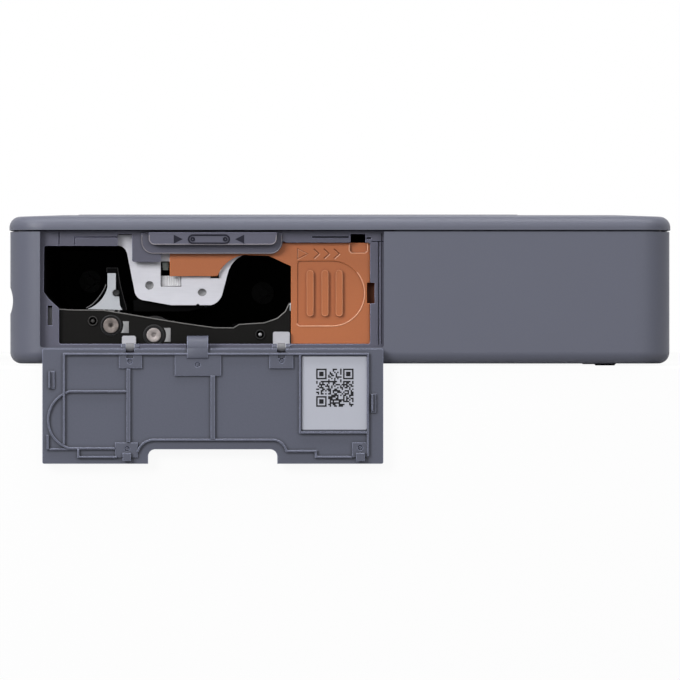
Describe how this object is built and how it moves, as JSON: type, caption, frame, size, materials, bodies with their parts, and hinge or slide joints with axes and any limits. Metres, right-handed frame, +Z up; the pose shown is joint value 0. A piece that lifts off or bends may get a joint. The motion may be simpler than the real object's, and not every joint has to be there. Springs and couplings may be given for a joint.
{
  "type": "compact photo printer",
  "caption": "Flat rectangular photo printer with rounded corners, its ink door hanging open below a cassette bay with rollers, head bracket and eject slider.",
  "frame": {"origin": "midway between the four feet, on the plane that they stand on", "axes": "+X to the right when facing the ink door, towards the front cover; -Y out of the ink door's side; +Z up"},
  "size_m": [0.1471, 0.1053, 0.0553],
  "materials": {
    "case_plastic": "fine-grained",
    "frame_plastic": "satin",
    "black_plastic": "satin",
    "orange_plastic": "satin",
    "white_plastic": "satin",
    "pale_metal": "satin",
    "steel": "turned",
    "aluminium": "extruded",
    "ceramic": "glazed",
    "roller_rubber": "ground",
    "foot_rubber": "moulded",
    "gear_plastic": "natural",
    "board_green": "lacquered",
    "chip_black": "matt",
    "battery_wrap": "shrink film",
    "label_paper": "coated",
    "lamp_plastic": "milky"
  },
  "bodies": {
    "casing": {"lower_case": "case_plastic", "top_cover": "case_plastic", "rubber_feet": "foot_rubber", "case_screws": "steel", "bay_frame": "frame_plastic", "near_plate": "black_plastic", "far_plate": "black_plastic", "supply_well": "black_plastic", "takeup_well": "black_plastic", "head_bracket": "pale_metal", "head_shaft": "steel", "roller_bushes": "black_plastic", "finger_guide": "white_plastic", "pinch_holder": "black_plastic", "slide_keeper": "black_plastic", "hinge_blocks": "white_plastic", "hinge_pins": "steel", "drive_motor": "steel", "paper_tunnel": "black_plastic", "cover_pins": "steel", "battery_pack": "battery_wrap", "main_board": "board_green", "board_chips": "chip_black", "board_screws": "steel", "button_switches": "chip_black", "charge_port": "steel", "lamp_lens": "lamp_plastic"},
    "door": {"ink_door": "frame_plastic", "door_label": "label_paper"},
    "flap": {"front_cover": "case_plastic"},
    "slider": {"eject_slider": "orange_plastic"},
    "print_head": {"heat_sink": "aluminium", "head_strip": "ceramic", "head_arms": "black_plastic"},
    "platen": {"platen_shaft": "steel", "platen_rubber": "roller_rubber"},
    "grip": {"grip_roller": "steel", "grip_gear": "gear_plastic"},
    "pinch": {"pinch_roller": "roller_rubber"},
    "pickup": {"pickup_roller": "roller_rubber", "pickup_shaft": "steel"},
    "takeup": {"takeup_spindle": "gear_plastic", "takeup_gear": "gear_plastic"},
    "supply": {"supply_spindle": "gear_plastic"},
    "first_idler": {"first_gear": "gear_plastic"},
    "second_idler": {"second_gear": "gear_plastic"},
    "third_idler": {"third_gear": "gear_plastic"},
    "motor_rotor": {"motor_shaft": "steel", "pinion_gear": "gear_plastic"},
    "power_key": {"power_button": "case_plastic"},
    "link_key": {"link_button": "case_plastic"}
  },
  "joints": [
    {"name": "ink_door_hinge", "type": "hinge", "parent": "casing", "child": "door", "pos_m": [-0.03, -0.05115, 0.004], "axis": [-1, 0, 0], "range_deg": [0, 180]},
    {"name": "front_cover_hinge", "type": "hinge", "parent": "casing", "child": "flap", "pos_m": [0.07165, 0, 0.0049], "axis": [0, 1, 0], "range_deg": [0, 90]},
    {"name": "eject_slide", "type": "slide", "parent": "casing", "child": "slider", "axis": [1, 0, 0], "range_m": [0, 0.0025], "stiffness_N_per_m": 300, "springref_m": -0.002},
    {"name": "head_swing", "type": "hinge", "parent": "casing", "child": "print_head", "pos_m": [-0.0275, 0, 0.0215], "axis": [0, -1, 0], "range_deg": [0, 4], "stiffness_Nm_per_rad": 0.05, "springref_deg": -5.73},
    {"name": "grip_spin", "type": "hinge", "parent": "casing", "child": "grip", "pos_m": [-0.0511, 0.04, 0.0089], "axis": [0, 1, 0], "continuous": true},
    {"name": "platen_spin", "type": "hinge", "parent": "casing", "child": "platen", "pos_m": [-0.0416, 0.04, 0.00675], "axis": [0, 1, 0], "continuous": true},
    {"name": "pinch_spin", "type": "hinge", "parent": "casing", "child": "pinch", "pos_m": [-0.0511, 0.04, 0.0126], "axis": [0, 1, 0], "continuous": true},
    {"name": "pickup_spin", "type": "hinge", "parent": "casing", "child": "pickup", "pos_m": [0.001, 0.04, 0.0155], "axis": [0, 1, 0], "continuous": true},
    {"name": "supply_spin", "type": "hinge", "parent": "casing", "child": "supply", "pos_m": [-0.0588, 0.04, 0.0194], "axis": [0, 1, 0], "continuous": true},
    {"name": "takeup_spin", "type": "hinge", "parent": "casing", "child": "takeup", "pos_m": [-0.0184, 0.04, 0.0167], "axis": [0, 1, 0], "continuous": true},
    {"name": "first_idler_spin", "type": "hinge", "parent": "casing", "child": "first_idler", "pos_m": [-0.00795, 0.04, 0.01769], "axis": [0, 1, 0], "continuous": true},
    {"name": "second_idler_spin", "type": "hinge", "parent": "casing", "child": "second_idler", "pos_m": [-0.02929, 0.04, 0.01823], "axis": [0, 1, 0], "continuous": true},
    {"name": "third_idler_spin", "type": "hinge", "parent": "casing", "child": "third_idler", "pos_m": [-0.04211, 0.04, 0.01608], "axis": [0, 1, 0], "continuous": true},
    {"name": "motor_spin", "type": "hinge", "parent": "casing", "child": "motor_rotor", "pos_m": [-0.003, 0.04, 0.0246], "axis": [0, 1, 0], "continuous": true},
    {"name": "power_press", "type": "slide", "parent": "casing", "child": "power_key", "axis": [0, 0, -1], "range_m": [0, 0.0004], "stiffness_N_per_m": 400, "springref_m": -0.0005},
    {"name": "link_press", "type": "slide", "parent": "casing", "child": "link_key", "axis": [0, 0, -1], "range_m": [0, 0.0004], "stiffness_N_per_m": 400, "springref_m": -0.0005}
  ],
  "couplings": [
    {"joint": "third_idler_spin", "follows": "grip_spin", "ratio": -0.76923},
    {"joint": "second_idler_spin", "follows": "grip_spin", "ratio": 0.76923},
    {"joint": "takeup_spin", "follows": "grip_spin", "ratio": -1.1111},
    {"joint": "first_idler_spin", "follows": "grip_spin", "ratio": 0.83333},
    {"joint": "motor_spin", "follows": "grip_spin", "ratio": -2}
  ]
}
